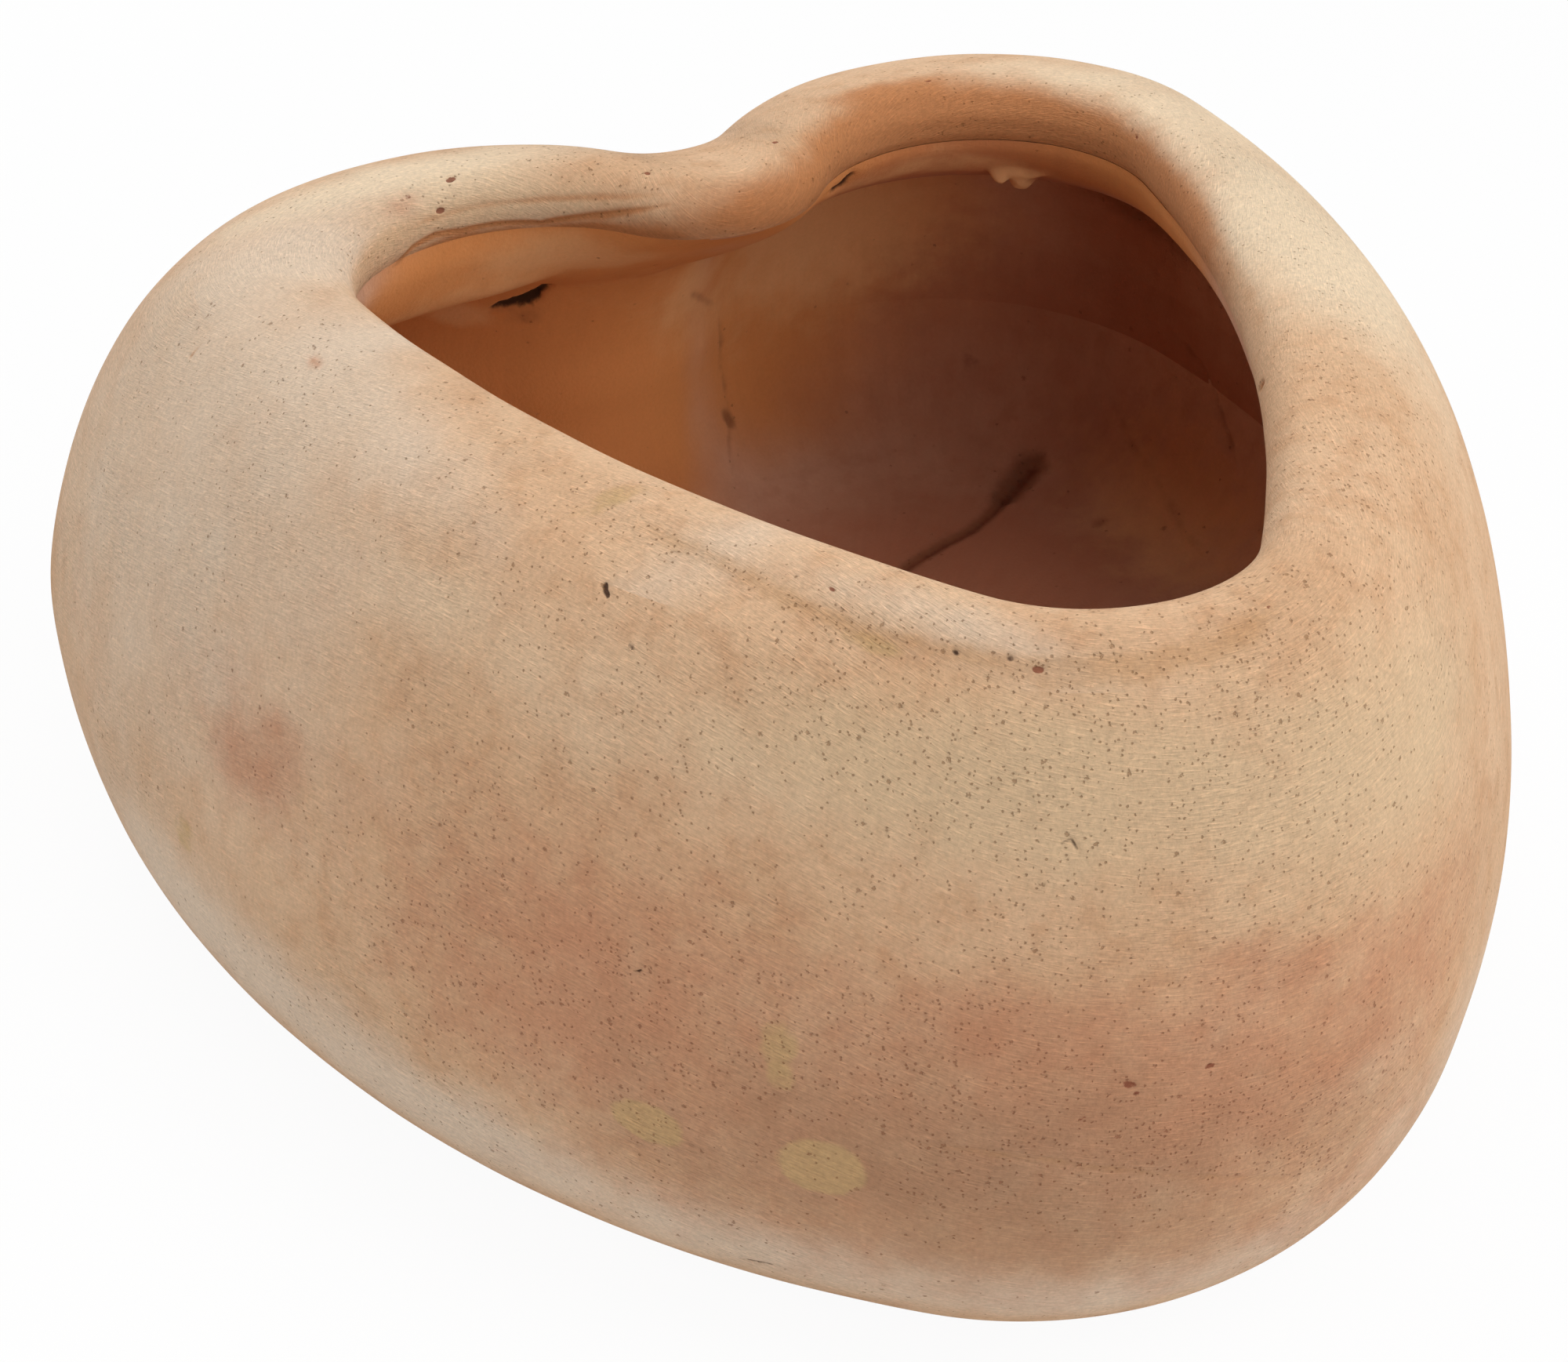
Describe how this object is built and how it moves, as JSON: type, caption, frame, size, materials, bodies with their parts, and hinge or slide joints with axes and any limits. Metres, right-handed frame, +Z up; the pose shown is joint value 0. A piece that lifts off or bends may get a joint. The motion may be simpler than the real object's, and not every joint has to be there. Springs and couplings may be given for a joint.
{
  "type": "heart-shaped planter",
  "caption": "Heart-shaped terracotta planter: a rounded hollow body with a flat foot, a drain hole and a heart-shaped mouth with a rolled-in lip.",
  "frame": {"origin": "on the surface that the foot stands on, under the middle of the outline", "axes": "+Z up; the cleft and the two lobes are towards +Y and the tip towards -Y; +X is to the right with the tip in front; the YZ plane is the mirror plane of the body, on which the mouth is turned by 3 degrees"},
  "size_m": [0.2862, 0.3045, 0.1488],
  "materials": {
    "terracotta_body": "matt, unglazed, sponged, with iron specks and pale slip smears",
    "terracotta_lip": "matt, unglazed, sponged smooth and a little paler than the body",
    "terracotta_slip": "matt, unglazed, finger-smeared"
  },
  "bodies": {
    "root": {"lower_bowl": "terracotta_body", "upper_shoulder": "terracotta_body", "lip_coil": "terracotta_lip", "lip_strip": "terracotta_slip", "belly_strip": "terracotta_slip"}
  },
  "joints": []
}
